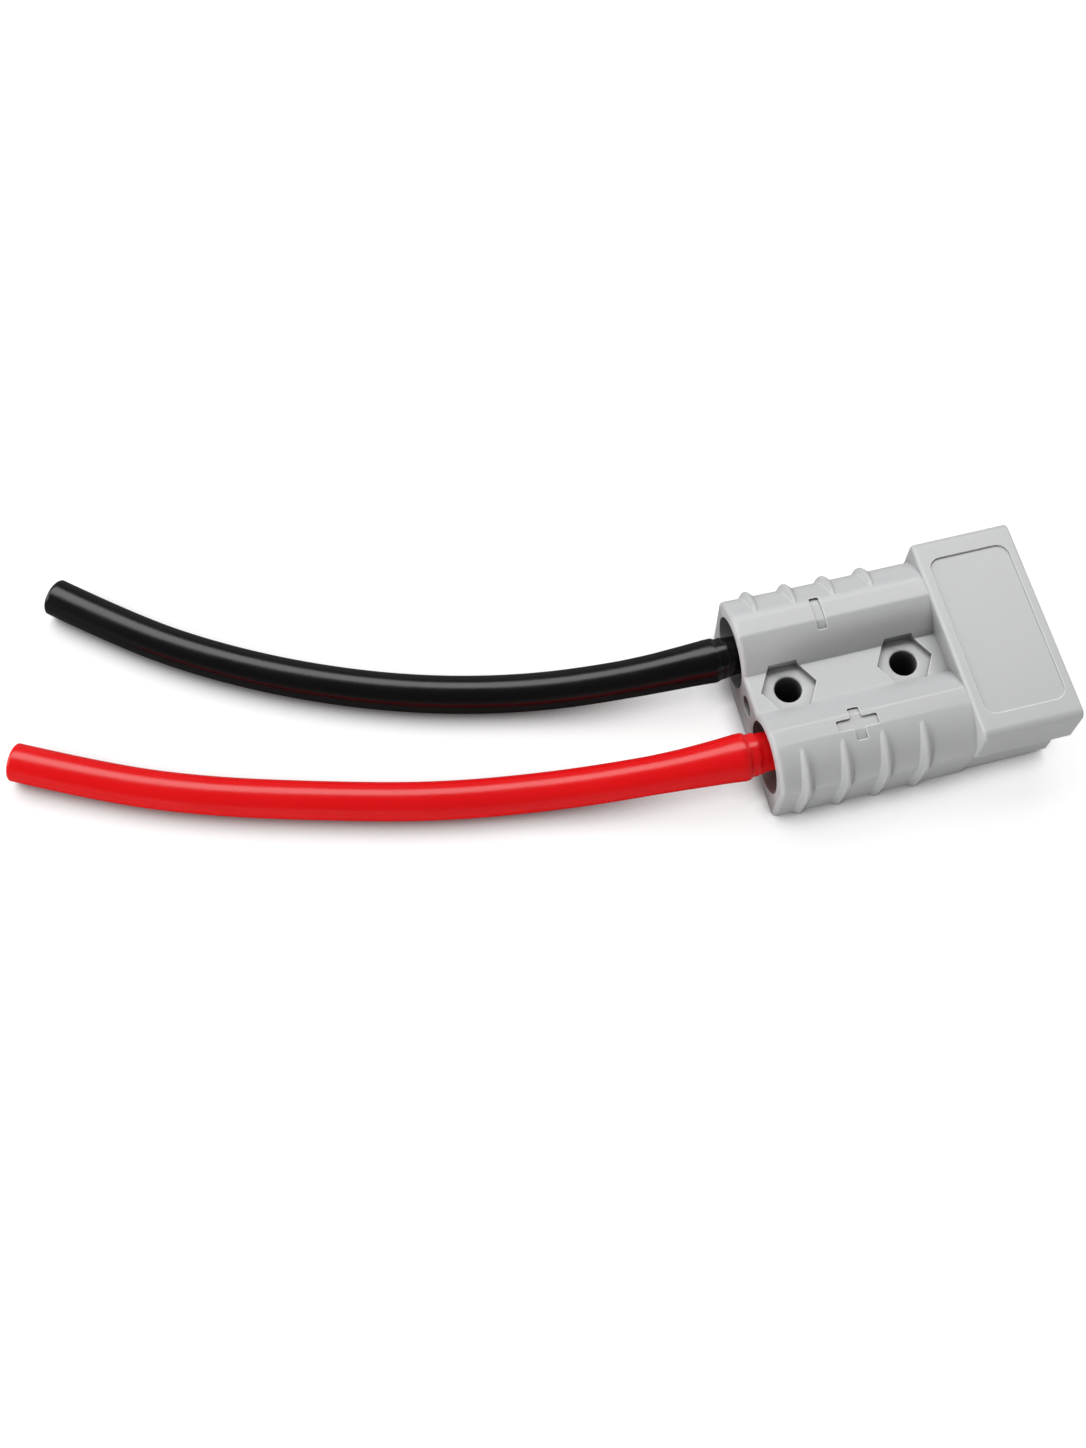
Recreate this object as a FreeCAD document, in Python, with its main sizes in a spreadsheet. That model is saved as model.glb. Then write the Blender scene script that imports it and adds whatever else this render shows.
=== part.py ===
import FreeCAD
import Part
import math
import os
import re
import Sketcher

# Two-pole genderless power connector with two cut leads.
# The mating direction is +X, the leads leave towards -X, +Z is up, and the positive lead is on the
# -Y side. The other connector is the same part, turned over about the Y direction.
# Sketches and routes measure from the middle of the underside at the rear face. Each part is then
# placed half a housing length back, which puts the origin below the middle of the housing.

V = FreeCAD.Vector

# Driving dimensions in millimetres.
SIZES = {
    # Housing, outside
    "body_length": 48.5,
    "body_width": 35.6,
    "body_height": 15.8,
    "barrel_length": 32.1,
    "hood_step": 0.35,
    "foot_draft": 0.5,
    "crest_drop": 0.6,
    "shoulder_rear_drop": 4.7,
    "shoulder_front_drop": 8.2,
    "crest_shift": 0.35,
    "crest_width": 2.7,
    "cheek_radius": 7.4,
    "flank_radius": 11.0,
    "crest_round": 1.2,
    "rear_round": 0.8,
    "web_drop": 4.3,
    "flank_run": 5.1,
    # Ribs for the fingers, each a crescent that rises out of the cheek
    "rib_first": 4.4,
    "rib_pitch": 6.5,
    "rib_count": 4,
    "rib_thickness": 2.2,
    "rib_crown": 0.3,
    "rib_stand_out": 0.55,
    "rib_sink": 0.15,
    "rib_root": 1.0,
    "rib_bend_drop": 7.6,
    "rib_tip_shift": 0.5,
    "rib_tip_drop": 0.2,
    "rib_radius": 6.7,
    # Hood and tongue
    "hood_round": 1.35,
    "hood_corner_land": 0.05,
    "hood_edge_round": 0.3,
    "hood_side_wall": 0.9,
    "hood_top_wall": 1.0,
    "hood_rear_wall": 1.5,
    "mating_clearance": 0.15,
    "tongue_overlap": 1.0,
    "tongue_setback": 2.0,
    "tongue_nose": 1.3,
    # Sunken panel on the hood
    "panel_front_margin": 1.45,
    "panel_rear_margin": 1.6,
    "panel_side_margin": 3.7,
    "panel_depth": 0.3,
    "panel_corner": 2.0,
    # Mounting holes between the barrels, and the cored rear of the web
    "hole_first": 6.6,
    "hole_from_hood": 6.1,
    "hole_diameter": 4.4,
    "hole_rim": 0.3,
    "hexagon_flats": 8.0,
    "hexagon_depth": 1.0,
    "core_diameter": 3.6,
    "core_depth": 2.0,
    "core_drop": 3.9,
    # Chambers
    "barrel_wall": 3.4,
    "bore_shift": 0.3,
    "mouth_shift": 0.45,
    "mouth_drop": 0.3,
    "mouth_flare": 1.0,
    "mouth_taper": 3.5,
    "slot_length": 25.2,
    "slot_headroom": 1.3,
    # Contacts
    "wire_rise": 0.1,
    "crimp_gap": 1.5,
    "crimp_length": 10.5,
    "crimp_diameter": 6.4,
    "crimp_end_wall": 1.5,
    "crimp_flats": 6.0,
    "crimp_flats_margin": 2.2,
    "neck_width": 4.8,
    "neck_thickness": 3.2,
    "neck_overlap": 0.5,
    "neck_length": 4.0,
    "blade_width": 9.1,
    "blade_thickness": 1.9,
    "blade_rise": 0.2,
    "blade_side_play": 0.45,
    "blade_end_gap": 0.7,
    "hook_drop": 1.6,
    "hook_radius": 2.4,
    # Leaf springs
    "spring_width": 6.4,
    "spring_thickness": 0.5,
    "spring_space": 3.0,
    "spring_crest_setback": 10.2,
    "spring_tail_gap": 3.0,
    "spring_radius": 12.3,
    "spring_play": 0.05,
    # Leads
    "lead_diameter": 6.3,
    "lead_straight": 4.0,
    "strand_diameter": 4.1,
    "strand_play": 0.05,
    "strand_end_play": 0.4,
}

# Sizes and places that follow from the values above.
CREST = "(body_height - crest_drop)"
WEB = "(body_height - crest_drop - web_drop)"
SIDE = "(body_width / 2 - hood_step)"
FOOT = "(body_width / 2 - hood_step - foot_draft)"
HOOD_FLOOR = "(body_height / 2 + mating_clearance / 3)"
HOOD_INSIDE = "(body_width / 2 - hood_side_wall)"
HOOD_CEILING = "(body_height - hood_top_wall)"
TONGUE_TOP = "(body_height / 2 - mating_clearance)"
TONGUE_SIDE = "(body_width / 2 - hood_side_wall - mating_clearance)"
TONGUE_BOTTOM = "(hood_top_wall + mating_clearance)"
WIRE_HEIGHT = "(body_height / 2 + wire_rise)"
BORE_DIAMETER = "(blade_width + 2 * blade_side_play)"
BORE_OFFSET = "(%s - barrel_wall - %s / 2)" % (SIDE, BORE_DIAMETER)
POLE_OFFSET = "(%s - bore_shift)" % BORE_OFFSET
CREST_INNER = "(%s - crest_shift)" % POLE_OFFSET
WEB_SIDE = "(%s - flank_run)" % CREST_INNER
BLADE_TOP = "(body_height / 2 + blade_rise)"
BLADE_BOTTOM = "(body_height / 2 + blade_rise - blade_thickness)"
SLOT_FLOOR = "(%s - spring_space)" % BLADE_BOTTOM
SLOT_ROOF = "(%s + slot_headroom)" % BLADE_TOP
SLOT_END = "(body_length - tongue_setback - tongue_nose)"
BORE_DEPTH = "(%s - slot_length)" % SLOT_END
BLADE_END = "(%s - blade_end_gap)" % SLOT_END
CRIMP_END = "(%s - crimp_gap)" % BORE_DEPTH
CRIMP_START = "(%s - crimp_length)" % CRIMP_END
NECK_END = "(%s + neck_length)" % CRIMP_END
SPRING_CREST = "(%s - spring_crest_setback)" % SLOT_END
SPRING_TAIL = "(%s + spring_tail_gap)" % BORE_DEPTH
HOLE_SPACING = "(barrel_length - hole_first - hole_from_hood)"

# Routes of the two leads outside the housing, chosen by hand along the photographed curves. Each
# point gives the distance in front of the rear face, the distance to the left of the middle plane
# and the height above the way a lead lies on the surface. Before them a lead runs straight out of
# its crimp.
ROUTES = {
    "positive": [
        (-18.0, -7.6, 2.85),
        (-34.0, -5.2, 0.0),
        (-52.0, -2.5, 0.0),
        (-70.0, 2.2, 0.0),
        (-88.0, 7.6, 0.0),
        (-103.0, 13.7, 0.0),
        (-116.7, 20.9, 0.0),
    ],
    "negative": [
        (-18.0, 9.6, 2.95),
        (-34.0, 12.5, 0.0),
        (-51.0, 16.6, 0.0),
        (-67.5, 23.0, 0.0),
        (-82.5, 30.9, 0.0),
        (-95.2, 39.6, 0.0),
        (-106.4, 49.3, 0.0),
    ],
}

doc = FreeCAD.newDocument("connector")
sheet = doc.addObject("Spreadsheet::Sheet", "sizes")
for row, (alias, size) in enumerate(SIZES.items(), start=1):
    sheet.set("A%d" % row, alias)
    sheet.set("B%d" % row, str(size))
    sheet.setAlias("B%d" % row, alias)
doc.recompute()


def number(text):
    """The value of an expression of sizes."""
    return float(sheet.evalExpression(text))


def bound(text):
    """The same expression, as another object reads it."""
    return re.sub("[a-z_]+", lambda word: "sizes." + word[0] if word[0] in SIZES else word[0], text)


def new_body(label):
    body = doc.addObject("PartDesign::Body", label + "_body")
    body.Label = label
    body.setExpression("Placement.Base.x", bound("-body_length / 2"))
    return body


def origin_plane(body, role):
    return next(item for item in body.Origin.OriginFeatures if item.Role == role)


def new_sketch(body, name, role, offset="0"):
    """A sketch on one of the body's origin planes, moved along that plane's normal."""
    sketch = body.newObject("Sketcher::SketchObject", name)
    sketch.AttachmentSupport = [(origin_plane(body, role), "")]
    sketch.MapMode = "FlatFace"
    sketch.setExpression("AttachmentOffset.Base.z", bound(offset))
    return sketch


def tie(sketch, name, text, *constraint):
    """Add a constraint of a named size to a sketch."""
    sketch.addConstraint(Sketcher.Constraint(*constraint, number(text)))
    sketch.renameConstraint(sketch.ConstraintCount - 1, name)
    sketch.setExpression("Constraints." + name, bound(text))


def arc_between(start, end, radius):
    """The shorter arc from start to end. It turns left, or right for a negative radius."""
    half = end.sub(start).Length / 2
    side = V(start.y - end.y, end.x - start.x, 0).normalize() * math.copysign(1, radius)
    centre = (start + end) * 0.5 + side * math.sqrt(radius * radius - half * half)
    ends = [start, end] if radius > 0 else [end, start]
    angles = [math.atan2(point.y - centre.y, point.x - centre.x) for point in ends]
    return Part.ArcOfCircle(Part.Circle(centre, V(0, 0, 1), abs(radius)), *angles)


def draw_outline(sketch, corners):
    """Close an outline through corners, each (across, up) in sizes, run anticlockwise.
    A third value is the radius of the arc that leaves the corner in place of a straight edge,
    with a leading minus where the arc turns right."""
    points = [V(number(corner[0]), number(corner[1]), 0) for corner in corners]
    first = sketch.GeometryCount
    count = len(corners)
    turns_right = [len(corner) == 3 and corner[2].startswith("-") for corner in corners]
    for index, corner in enumerate(corners):
        start = points[index]
        end = points[(index + 1) % count]
        if len(corner) == 3:
            sketch.addGeometry(arc_between(start, end, number(corner[2])), False)
        else:
            sketch.addGeometry(Part.LineSegment(start, end), False)
    for index in range(count):
        after = (index + 1) % count
        this_end = 1 if turns_right[index] else 2
        next_start = 2 if turns_right[after] else 1
        joint = ("Coincident", first + index, this_end, first + after, next_start)
        sketch.addConstraint(Sketcher.Constraint(*joint))
    for index, corner in enumerate(corners):
        edge = first + index
        start = 2 if turns_right[index] else 1
        tie(sketch, "across%d" % edge, corner[0], "DistanceX", -1, 1, edge, start)
        tie(sketch, "up%d" % edge, corner[1], "DistanceY", -1, 1, edge, start)
        if len(corner) == 3:
            tie(sketch, "bend%d" % edge, corner[2].lstrip("-"), "Radius", edge)


def draw_rectangle(sketch, left, right, bottom, top):
    draw_outline(sketch, [(left, bottom), (right, bottom), (right, top), (left, top)])


def draw_circle(sketch, across, up, diameter):
    index = sketch.GeometryCount
    centre = V(number(across), number(up), 0)
    sketch.addGeometry(Part.Circle(centre, V(0, 0, 1), number(diameter) / 2), False)
    tie(sketch, "across%d" % index, across, "DistanceX", -1, 1, index, 3)
    tie(sketch, "up%d" % index, up, "DistanceY", -1, 1, index, 3)
    tie(sketch, "width%d" % index, diameter, "Diameter", index)


def add_feature(body, kind, name, profile):
    feature = body.newObject("PartDesign::" + kind, name)
    feature.Profile = profile
    return feature


def extrude(body, kind, name, profile, length, reverse=False):
    """A Pad or Pocket of a bound length."""
    feature = add_feature(body, kind, name, profile)
    feature.setExpression("Length", bound(length))
    feature.Reversed = reverse
    doc.recompute()
    return feature


def loft(body, kind, name, first, *others):
    """Flat-sided loft through sketches."""
    feature = add_feature(body, kind, name, first)
    feature.Sections = [(sketch, [""]) for sketch in others]
    feature.Ruled = True
    doc.recompute()
    return feature


def mirrored(body, name, originals):
    """Repeat features on the other side of the middle plane."""
    feature = body.newObject("PartDesign::Mirrored", name)
    feature.Originals = originals
    feature.MirrorPlane = (origin_plane(body, "XZ_Plane"), [""])
    body.Tip = feature
    doc.recompute()
    return feature


def edge_names(shape, wanted):
    return ["Edge%d" % (index + 1) for index, edge in enumerate(shape.Edges) if wanted(edge)]


def round_edges(body, name, radius, wanted):
    """Round the edges of the body that a test picks out."""
    base = body.Tip
    names = edge_names(base.Shape, wanted)
    if not names:
        raise RuntimeError(name + " finds no edge")
    feature = body.newObject("PartDesign::Fillet", name)
    feature.Base = (base, names)
    feature.setExpression("Radius", bound(radius))
    doc.recompute()
    return feature


def near(first, second):
    return abs(first - second) < 1e-4


def draw_barrel_half(sketch, shoulder_drop):
    """Half of the section through web and barrel: foot, side, round cheek, crest and hollow flank."""
    draw_outline(sketch, [
        ("0", "0"),
        (FOOT, "0"),
        (SIDE, CREST + " - " + shoulder_drop, "cheek_radius"),
        (CREST_INNER + " + crest_width", CREST),
        (CREST_INNER, CREST, "flank_radius"),
        (WEB_SIDE, WEB),
        ("0", WEB),
    ])


def make_barrels(body):
    rear = new_sketch(body, "barrel_rear", "YZ_Plane")
    draw_barrel_half(rear, "shoulder_rear_drop")
    front = new_sketch(body, "barrel_front", "YZ_Plane", "barrel_length")
    draw_barrel_half(front, "shoulder_front_drop")
    doc.recompute()
    half = loft(body, "AdditiveLoft", "barrel", rear, front)
    mirrored(body, "both_barrels", [half])
    crest = number(CREST)
    inner = number(CREST_INNER)

    def on_ridge(edge):
        ends = [vertex.Point for vertex in edge.Vertexes]
        lengthwise = abs(ends[0].x - ends[-1].x) > number("barrel_length") / 2
        return lengthwise and all(near(end.z, crest) and near(abs(end.y), inner) for end in ends)

    round_edges(body, "crest_rounding", "crest_round", on_ridge)

    def on_rear_rim(edge):
        box = edge.BoundBox
        return near(box.XMax, 0) and box.ZMax > 0.01 and box.YLength > 1e-3

    round_edges(body, "rear_rounding", "rear_round", on_rear_rim)


def draw_rib(sketch, stand_out, tip_drop):
    """A crescent over the side and cheek, at one distance outside them."""
    tip = CREST_INNER + " + crest_width + rib_tip_shift"
    draw_outline(sketch, [
        (FOOT + " - rib_root", "0"),
        (FOOT + " + " + stand_out, "0"),
        (SIDE + " + " + stand_out, CREST + " - rib_bend_drop", "rib_radius"),
        (tip, CREST + " - " + tip_drop),
        (tip, CREST + " - rib_bend_drop"),
    ])


def make_ribs(body):
    """One rib, highest along its middle, repeated along the barrel and on the other barrel."""
    low = ("(0 - rib_sink)", "(rib_tip_drop + 2 * rib_sink)")
    high = ("rib_stand_out", "rib_tip_drop")
    sections = []
    for place, heights in (
        ("rib_first - rib_thickness / 2", low),
        ("rib_first - rib_crown / 2", high),
        ("rib_first + rib_crown / 2", high),
        ("rib_first + rib_thickness / 2", low),
    ):
        sketch = new_sketch(body, "rib_section_%d" % len(sections), "YZ_Plane", place)
        draw_rib(sketch, *heights)
        sections.append(sketch)
    doc.recompute()
    rib = loft(body, "AdditiveLoft", "rib", *sections)
    row = body.newObject("PartDesign::MultiTransform", "all_ribs")
    row.Originals = [rib]
    along = body.newObject("PartDesign::LinearPattern", "rib_row")
    along.Direction = (origin_plane(body, "YZ_Plane"), [""])
    along.setExpression("Length", bound("rib_pitch * (rib_count - 1)"))
    along.setExpression("Occurrences", bound("rib_count"))
    across = body.newObject("PartDesign::Mirrored", "rib_sides")
    across.MirrorPlane = (origin_plane(body, "XZ_Plane"), [""])
    row.Transformations = [along, across]
    body.Tip = row
    doc.recompute()


def make_hood(body):
    section = new_sketch(body, "hood_section", "YZ_Plane", "barrel_length")
    draw_outline(section, [
        ("-body_width / 2", HOOD_FLOOR),
        ("body_width / 2", HOOD_FLOOR),
        ("body_width / 2", "body_height - hood_round", "hood_round"),
        ("body_width / 2 - hood_round", "body_height"),
        ("hood_round - body_width / 2", "body_height", "hood_round"),
        ("-body_width / 2", "body_height - hood_round"),
    ])
    doc.recompute()
    extrude(body, "Pad", "hood", section, "body_length - barrel_length")
    half_width = number("body_width / 2")
    rear = number("barrel_length")
    front = number("body_length")

    def upright_rear(edge):
        return near(abs(edge.CenterOfMass.y), half_width) and near(edge.CenterOfMass.x, rear)

    def upright_front(edge):
        return near(abs(edge.CenterOfMass.y), half_width) and near(edge.CenterOfMass.x, front)

    round_edges(body, "hood_rear_edges", "crest_drop - hood_corner_land", upright_rear)
    round_edges(body, "hood_front_edges", "hood_edge_round", upright_front)


def make_tongue(body):
    """The lower half of the mating face, and the space above it for the other connector's tongue."""
    section = new_sketch(body, "tongue_section", "YZ_Plane", "barrel_length - tongue_overlap")
    draw_rectangle(section, "-" + TONGUE_SIDE, TONGUE_SIDE, TONGUE_BOTTOM, TONGUE_TOP)
    space = new_sketch(body, "hood_space_section", "YZ_Plane", "body_length")
    draw_rectangle(space, "-" + HOOD_INSIDE, HOOD_INSIDE, TONGUE_TOP, HOOD_CEILING)
    doc.recompute()
    extrude(body, "Pad", "tongue", section, "body_length - tongue_setback - barrel_length + tongue_overlap")
    depth = "body_length - barrel_length - hood_rear_wall"
    extrude(body, "Pocket", "hood_space", space, depth)


def make_chambers(body):
    """The wide mouth for the lead, the bore for the crimp and the slot for blade and spring."""
    mouth = new_sketch(body, "mouth_rim", "YZ_Plane")
    mouth_across = BORE_OFFSET + " + mouth_shift"
    mouth_up = WIRE_HEIGHT + " - mouth_drop"
    draw_circle(mouth, mouth_across, mouth_up, BORE_DIAMETER + " + 2 * mouth_flare")
    throat = new_sketch(body, "mouth_throat", "YZ_Plane", "mouth_taper")
    draw_circle(throat, BORE_OFFSET, WIRE_HEIGHT, BORE_DIAMETER)
    bore = new_sketch(body, "bore_circle", "YZ_Plane")
    draw_circle(bore, BORE_OFFSET, WIRE_HEIGHT, BORE_DIAMETER)
    slot = new_sketch(body, "slot_section", "YZ_Plane", SLOT_END)
    left = POLE_OFFSET + " - blade_width / 2 - blade_side_play"
    right = POLE_OFFSET + " + blade_width / 2 + blade_side_play"
    draw_rectangle(slot, left, right, SLOT_FLOOR, SLOT_ROOF)
    doc.recompute()
    cuts = [
        loft(body, "SubtractiveLoft", "mouth", mouth, throat),
        extrude(body, "Pocket", "bore", bore, BORE_DEPTH, reverse=True),
        extrude(body, "Pocket", "slot", slot, "slot_length"),
    ]
    mirrored(body, "both_chambers", cuts)


def hexagon_corners(across, up, flats):
    """Corners of a hexagon with two of its flats level, run anticlockwise."""
    reach = "%s / sqrt(3)" % flats
    corners = []
    for step_across, step_up in ((1, 0), (0.5, 1), (-0.5, 1), (-1, 0), (-0.5, -1), (0.5, -1)):
        corner_across = "%s + %s * %s" % (across, step_across, reach)
        corner_up = "%s + %s * %s / 2" % (up, step_up, flats)
        corners.append((corner_across, corner_up))
    return corners


def make_mounting_holes(body):
    hexagon = new_sketch(body, "hexagon_outline", "XY_Plane", WEB + " - hexagon_depth")
    draw_outline(hexagon, hexagon_corners("hole_first", "0", "hexagon_flats"))
    circle = new_sketch(body, "hole_circle", "XY_Plane", WEB)
    draw_circle(circle, "hole_first", "0", "hole_diameter")
    doc.recompute()
    recess = extrude(body, "Pocket", "hexagon_recess", hexagon, "body_height", reverse=True)
    hole = extrude(body, "Pocket", "mounting_hole", circle, WEB)
    row = body.newObject("PartDesign::LinearPattern", "both_holes")
    row.Originals = [recess, hole]
    row.Direction = (origin_plane(body, "YZ_Plane"), [""])
    row.setExpression("Length", bound(HOLE_SPACING))
    row.Occurrences = 2
    body.Tip = row
    doc.recompute()
    top = number(WEB + " - hexagon_depth")

    def on_hole_rim(edge):
        return isinstance(edge.Curve, Part.Circle) and near(edge.Curve.Center.z, top)

    round_edges(body, "hole_rims", "hole_rim", on_hole_rim)
    core = new_sketch(body, "core_circle", "YZ_Plane")
    draw_circle(core, "0", WEB + " - core_drop", "core_diameter")
    doc.recompute()
    extrude(body, "Pocket", "rear_core", core, "core_depth", reverse=True)


def make_panel(body):
    """The shallow sunken panel with round corners on top of the hood."""
    rear = "barrel_length + panel_rear_margin"
    front = "body_length - panel_front_margin"
    side = "(body_width / 2 - panel_side_margin)"
    outline = new_sketch(body, "panel_outline", "XY_Plane", "body_height")
    draw_outline(outline, [
        (rear + " + panel_corner", "-" + side),
        (front + " - panel_corner", "-" + side, "panel_corner"),
        (front, "panel_corner - " + side),
        (front, side + " - panel_corner", "panel_corner"),
        (front + " - panel_corner", side),
        (rear + " + panel_corner", side, "panel_corner"),
        (rear, side + " - panel_corner"),
        (rear, "panel_corner - " + side, "panel_corner"),
    ])
    doc.recompute()
    extrude(body, "Pocket", "panel", outline, "panel_depth")


def make_housing():
    body = new_body("housing")
    make_hood(body)
    make_barrels(body)
    make_ribs(body)
    make_tongue(body)
    make_chambers(body)
    make_mounting_holes(body)
    make_panel(body)
    return body


def pad_across(body, name, profile, width):
    """Pad a side view by half its width to each side of its plane."""
    feature = extrude(body, "Pad", name, profile, width)
    feature.Midplane = True
    doc.recompute()
    return feature


def make_contact(name, side):
    """A stamped contact: crimp barrel for the strands, flat neck, and blade with a hooked end."""
    body = new_body("contact_" + name)
    centre = "%d * %s" % (side, POLE_OFFSET)
    barrel = new_sketch(body, "crimp_circle_" + name, "YZ_Plane", CRIMP_START)
    draw_circle(barrel, centre, WIRE_HEIGHT, "crimp_diameter")
    bore = new_sketch(body, "crimp_bore_circle_" + name, "YZ_Plane", CRIMP_START)
    draw_circle(bore, centre, WIRE_HEIGHT, "strand_diameter + 2 * strand_play")
    flats_start = CRIMP_START + " + crimp_flats_margin"
    flats = new_sketch(body, "crimp_flats_outline_" + name, "YZ_Plane", flats_start)
    draw_circle(flats, centre, WIRE_HEIGHT, "2 * crimp_diameter")
    draw_outline(flats, hexagon_corners(centre, WIRE_HEIGHT, "crimp_flats"))
    neck = new_sketch(body, "neck_start_" + name, "YZ_Plane", CRIMP_END + " - neck_overlap")
    left = centre + " - neck_width / 2"
    right = centre + " + neck_width / 2"
    low = WIRE_HEIGHT + " - neck_thickness / 2"
    high = WIRE_HEIGHT + " + neck_thickness / 2"
    draw_rectangle(neck, left, right, low, high)
    root = new_sketch(body, "neck_end_" + name, "YZ_Plane", NECK_END)
    left = centre + " - blade_width / 2"
    right = centre + " + blade_width / 2"
    draw_rectangle(root, left, right, BLADE_BOTTOM, BLADE_TOP)
    blade = new_sketch(body, "blade_side_" + name, "XZ_Plane", "%d * %s" % (-side, POLE_OFFSET))
    inner_bend = "hook_radius - blade_thickness"
    draw_outline(blade, [
        (NECK_END, BLADE_BOTTOM),
        (BLADE_END + " - hook_radius", BLADE_BOTTOM, "-(%s)" % inner_bend),
        (BLADE_END + " - blade_thickness", BLADE_TOP + " - hook_radius"),
        (BLADE_END + " - blade_thickness", BLADE_BOTTOM + " - hook_drop"),
        (BLADE_END, BLADE_BOTTOM + " - hook_drop"),
        (BLADE_END, BLADE_TOP + " - hook_radius", "hook_radius"),
        (BLADE_END + " - hook_radius", BLADE_TOP),
        (NECK_END, BLADE_TOP),
    ])
    doc.recompute()
    extrude(body, "Pad", "crimp_barrel_" + name, barrel, "crimp_length")
    flats_length = "crimp_length - 2 * crimp_flats_margin"
    extrude(body, "Pocket", "crimp_flats_" + name, flats, flats_length, reverse=True)
    extrude(body, "Pocket", "crimp_bore_" + name, bore, "crimp_length - crimp_end_wall", reverse=True)
    loft(body, "AdditiveLoft", "neck_" + name, neck, root)
    pad_across(body, "blade_" + name, blade, "blade_width")
    return body


def make_spring(name, side):
    """A leaf spring: a flat tail on the floor of the slot, and an arch that bears on the blade."""
    body = new_body("spring_" + name)
    rise = "(spring_space - spring_play)"
    below = "(spring_radius - %s)" % rise
    inner = "(spring_radius - spring_thickness)"
    outer_reach = "sqrt(spring_radius ^ 2 - %s ^ 2)" % below
    inner_reach = "sqrt(%s ^ 2 - %s ^ 2)" % (inner, below)
    tail_reach = "sqrt(spring_radius ^ 2 - (%s + spring_thickness) ^ 2)" % below
    leaf = new_sketch(body, "leaf_side_" + name, "XZ_Plane", "%d * %s" % (-side, POLE_OFFSET))
    draw_outline(leaf, [
        (SPRING_TAIL, SLOT_FLOOR),
        (SPRING_CREST + " - " + inner_reach, SLOT_FLOOR, "-" + inner),
        (SPRING_CREST + " + " + inner_reach, SLOT_FLOOR),
        (SPRING_CREST + " + " + outer_reach, SLOT_FLOOR, "spring_radius"),
        (SPRING_CREST + " - " + tail_reach, SLOT_FLOOR + " + spring_thickness"),
        (SPRING_TAIL, SLOT_FLOOR + " + spring_thickness"),
    ])
    doc.recompute()
    pad_across(body, "leaf_" + name, leaf, "spring_width")
    return body


def lead_path(name, side, lead_in):
    """The middle line of a lead: straight runs joined by arcs as large as the runs allow.
    The first run starts further forward by the length lead_in."""
    across = side * number(POLE_OFFSET)
    height = number(WIRE_HEIGHT)
    points = [V(number(CRIMP_START), across, height), V(number("-lead_straight"), across, height)]
    for along, left, rise in ROUTES[name]:
        points.append(V(along, left, number("lead_diameter / 2") + rise))
    edges = []
    radii = []
    position = points[0] + (points[0] - points[1]).normalize() * lead_in
    for before, corner, after in zip(points, points[1:], points[2:]):
        back = before - corner
        ahead = after - corner
        turn = math.pi - back.getAngle(ahead)
        trim = 0.45 * min(back.Length, ahead.Length)
        radius = trim / math.tan(turn / 2)
        radii.append(radius)
        start = corner + back.normalize() * trim
        end = corner + ahead.normalize() * trim
        inward = (back + ahead).normalize()
        middle = corner + inward * radius * (1 / math.cos(turn / 2) - 1)
        edges.append(Part.LineSegment(position, start).toShape())
        edges.append(Part.Arc(start, middle, end).toShape())
        position = end
    edges.append(Part.LineSegment(position, points[-1]).toShape())
    print(name, "bend radii:", ", ".join("%.0f mm" % radius for radius in radii))
    return Part.Wire(edges)


def sweep_ring(label, path, outside, inside=""):
    """A round bar along a path, or a tube when it is given an inside diameter."""
    start = path.OrderedVertexes[0].Point
    first = path.OrderedEdges[0]
    tangent = first.tangentAt(first.FirstParameter)
    section = Part.Face(Part.Wire(Part.makeCircle(number(outside) / 2, start, tangent)))
    if inside:
        section = section.cut(Part.Face(Part.Wire(Part.makeCircle(number(inside) / 2, start, tangent))))
    bar = doc.addObject("Part::Feature", label)
    bar.Label = label
    bar.Shape = path.makePipe(section).Solids[0]
    bar.Placement = FreeCAD.Placement(V(number("-body_length / 2"), 0, 0), FreeCAD.Rotation())
    ratio = bar.Shape.Volume / (section.Area * path.Length)
    print(label, "length %.1f mm," % path.Length, "volume over section times length %.4f" % ratio)
    return bar


def make_lead(name, side):
    """The insulation of a lead, and the stranded conductor that goes on into the crimp."""
    sheath_path = lead_path(name, side, 0)
    hollow = "strand_diameter + 2 * strand_play"
    insulation = sweep_ring("insulation_" + name, sheath_path, "lead_diameter", hollow)
    reach = number("crimp_length - crimp_end_wall - strand_end_play")
    conductor = sweep_ring("conductor_" + name, lead_path(name, side, reach), "strand_diameter")
    return [insulation, conductor]


parts = [make_housing()]
for name, side in (("positive", -1), ("negative", 1)):
    parts.append(make_contact(name, side))
    parts.append(make_spring(name, side))
    parts.extend(make_lead(name, side))
doc.recompute()

for item in doc.Objects:
    if "Invalid" in item.State or "Error" in item.State:
        raise RuntimeError("%s is %s" % (item.Label, item.State))
for part in parts:
    if part.Shape.isNull() or not part.Shape.isValid() or len(part.Shape.Solids) != 1:
        raise RuntimeError(part.Label + " is not one sound solid")

os.makedirs("parts", exist_ok=True)
for part in parts:
    part.Shape.exportStep("parts/%s.step" % part.Label)
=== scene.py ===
import math

import bmesh
import bpy
from mathutils import Matrix, Vector
from mathutils.bvhtree import BVHTree


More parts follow.
